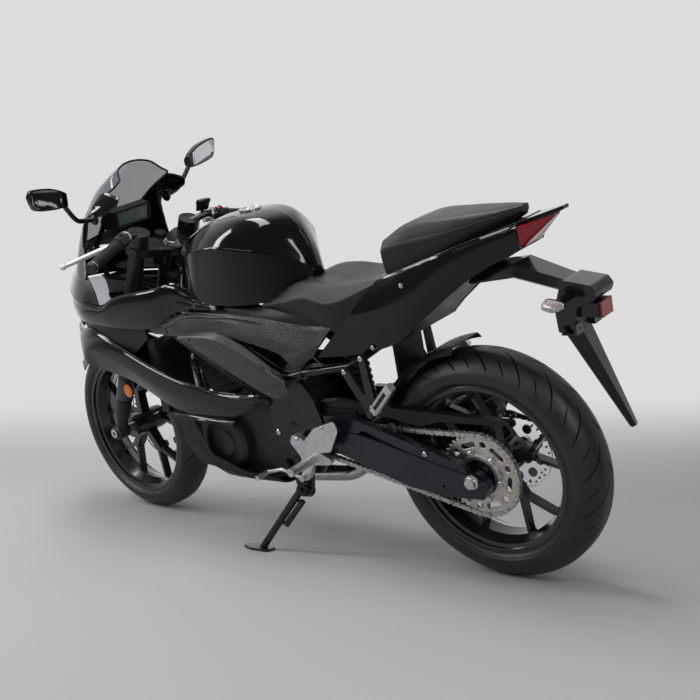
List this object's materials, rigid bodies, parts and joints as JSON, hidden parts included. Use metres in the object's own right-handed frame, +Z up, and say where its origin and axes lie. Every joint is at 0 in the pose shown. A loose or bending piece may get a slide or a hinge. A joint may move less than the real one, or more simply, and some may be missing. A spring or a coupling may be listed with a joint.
{
  "type": "sport motorcycle",
  "caption": "Faired road motorcycle with two in-line wheels, forked steering, chain final drive and two seats, parked leaning on its side stand.",
  "frame": {"origin": "on the ground under the middle of the parked machine's bounding box", "axes": "+X forward along the wheelbase, +Y to the rider's left (the side it leans to), +Z up"},
  "size_m": [2.0684, 0.8158, 1.2086],
  "materials": {
    "alloy_black": "gloss",
    "bare_aluminium": "brushed",
    "bright_steel": "brushed",
    "chain_steel": "oiled",
    "disc_steel": "ground",
    "engine_black": "satin",
    "frame_black": "satin",
    "gloss_black": "gloss",
    "grip_rubber": "ribbed",
    "lamp_clear": "clear",
    "matte_black": "matte",
    "satin_grey": "satin",
    "screen_smoke": "smoked",
    "seat_cover": "grained",
    "sprocket_steel": "plated",
    "swingarm_black": "satin",
    "tail_red": "ribbed",
    "textured_grey": "textured",
    "tyre_rubber": "matte"
  },
  "bodies": {
    "chassis": {"belly_pan": "matte_black", "chain": "chain_steel", "chain_guard": "matte_black", "engine": "engine_black", "exhaust": "bright_steel", "footrests": "bare_aluminium", "frame_head": "frame_black", "frame_left": "frame_black", "frame_right": "frame_black", "front_stay": "matte_black", "fuel_tank": "gloss_black", "headlights": "lamp_clear", "inner_fender": "matte_black", "instrument_panel": "matte_black", "knee_panels": "textured_grey", "lower_cowls": "gloss_black", "mirrors": "gloss_black", "nose_cowl": "gloss_black", "passenger_footrests": "frame_black", "pillion_seat": "seat_cover", "pivot_bolt": "frame_black", "plate_holder": "matte_black", "radiator": "engine_black", "rear_axle": "bright_steel", "rear_caliper": "engine_black", "rear_indicators": "lamp_clear", "rear_reflector": "tail_red", "rear_shock": "engine_black", "rider_seat": "seat_cover", "side_cowls": "gloss_black", "sprocket_cover": "engine_black", "stand_bracket": "frame_black", "subframe": "frame_black", "swingarm_bridge": "swingarm_black", "swingarm_left": "swingarm_black", "swingarm_right": "swingarm_black", "tail_cowl": "gloss_black", "tail_light": "tail_red", "windscreen": "screen_smoke", "wing_panels": "satin_grey"},
    "steering": {"steering_clamps": "frame_black", "fork_legs": "engine_black", "front_axle": "bright_steel", "handlebars": "frame_black", "grips": "grip_rubber", "levers": "bare_aluminium", "front_fender": "gloss_black", "front_caliper": "engine_black"},
    "front_wheel": {"front_tyre": "tyre_rubber", "front_rim": "alloy_black", "front_disc": "disc_steel"},
    "rear_wheel": {"rear_tyre": "tyre_rubber", "rear_rim": "alloy_black", "rear_disc": "disc_steel", "rear_sprocket": "sprocket_steel"},
    "side_stand": {"side_stand": "frame_black"}
  },
  "joints": [
    {"name": "steering_turn", "type": "hinge", "parent": "chassis", "child": "steering", "pos_m": [0.47943, -0.04528, 0.74738], "axis": [-0.4231, 0.2346, 0.8752], "range_deg": [-28.8, 39.2]},
    {"name": "front_wheel_spin", "type": "hinge", "parent": "steering", "child": "front_wheel", "pos_m": [0.74377, -0.17215, 0.28725], "axis": [0.0823, 0.9719, -0.2207], "continuous": true},
    {"name": "rear_wheel_spin", "type": "hinge", "parent": "chassis", "child": "rear_wheel", "pos_m": [-0.6361, -0.16339, 0.30596], "axis": [0.0001, 0.9659, -0.2588], "continuous": true},
    {"name": "side_stand_fold", "type": "hinge", "parent": "chassis", "child": "side_stand", "pos_m": [-0.07003, -0.04128, 0.18244], "axis": [-0.0001, 0.9797, 0.2005], "range_deg": [0, 110]}
  ]
}
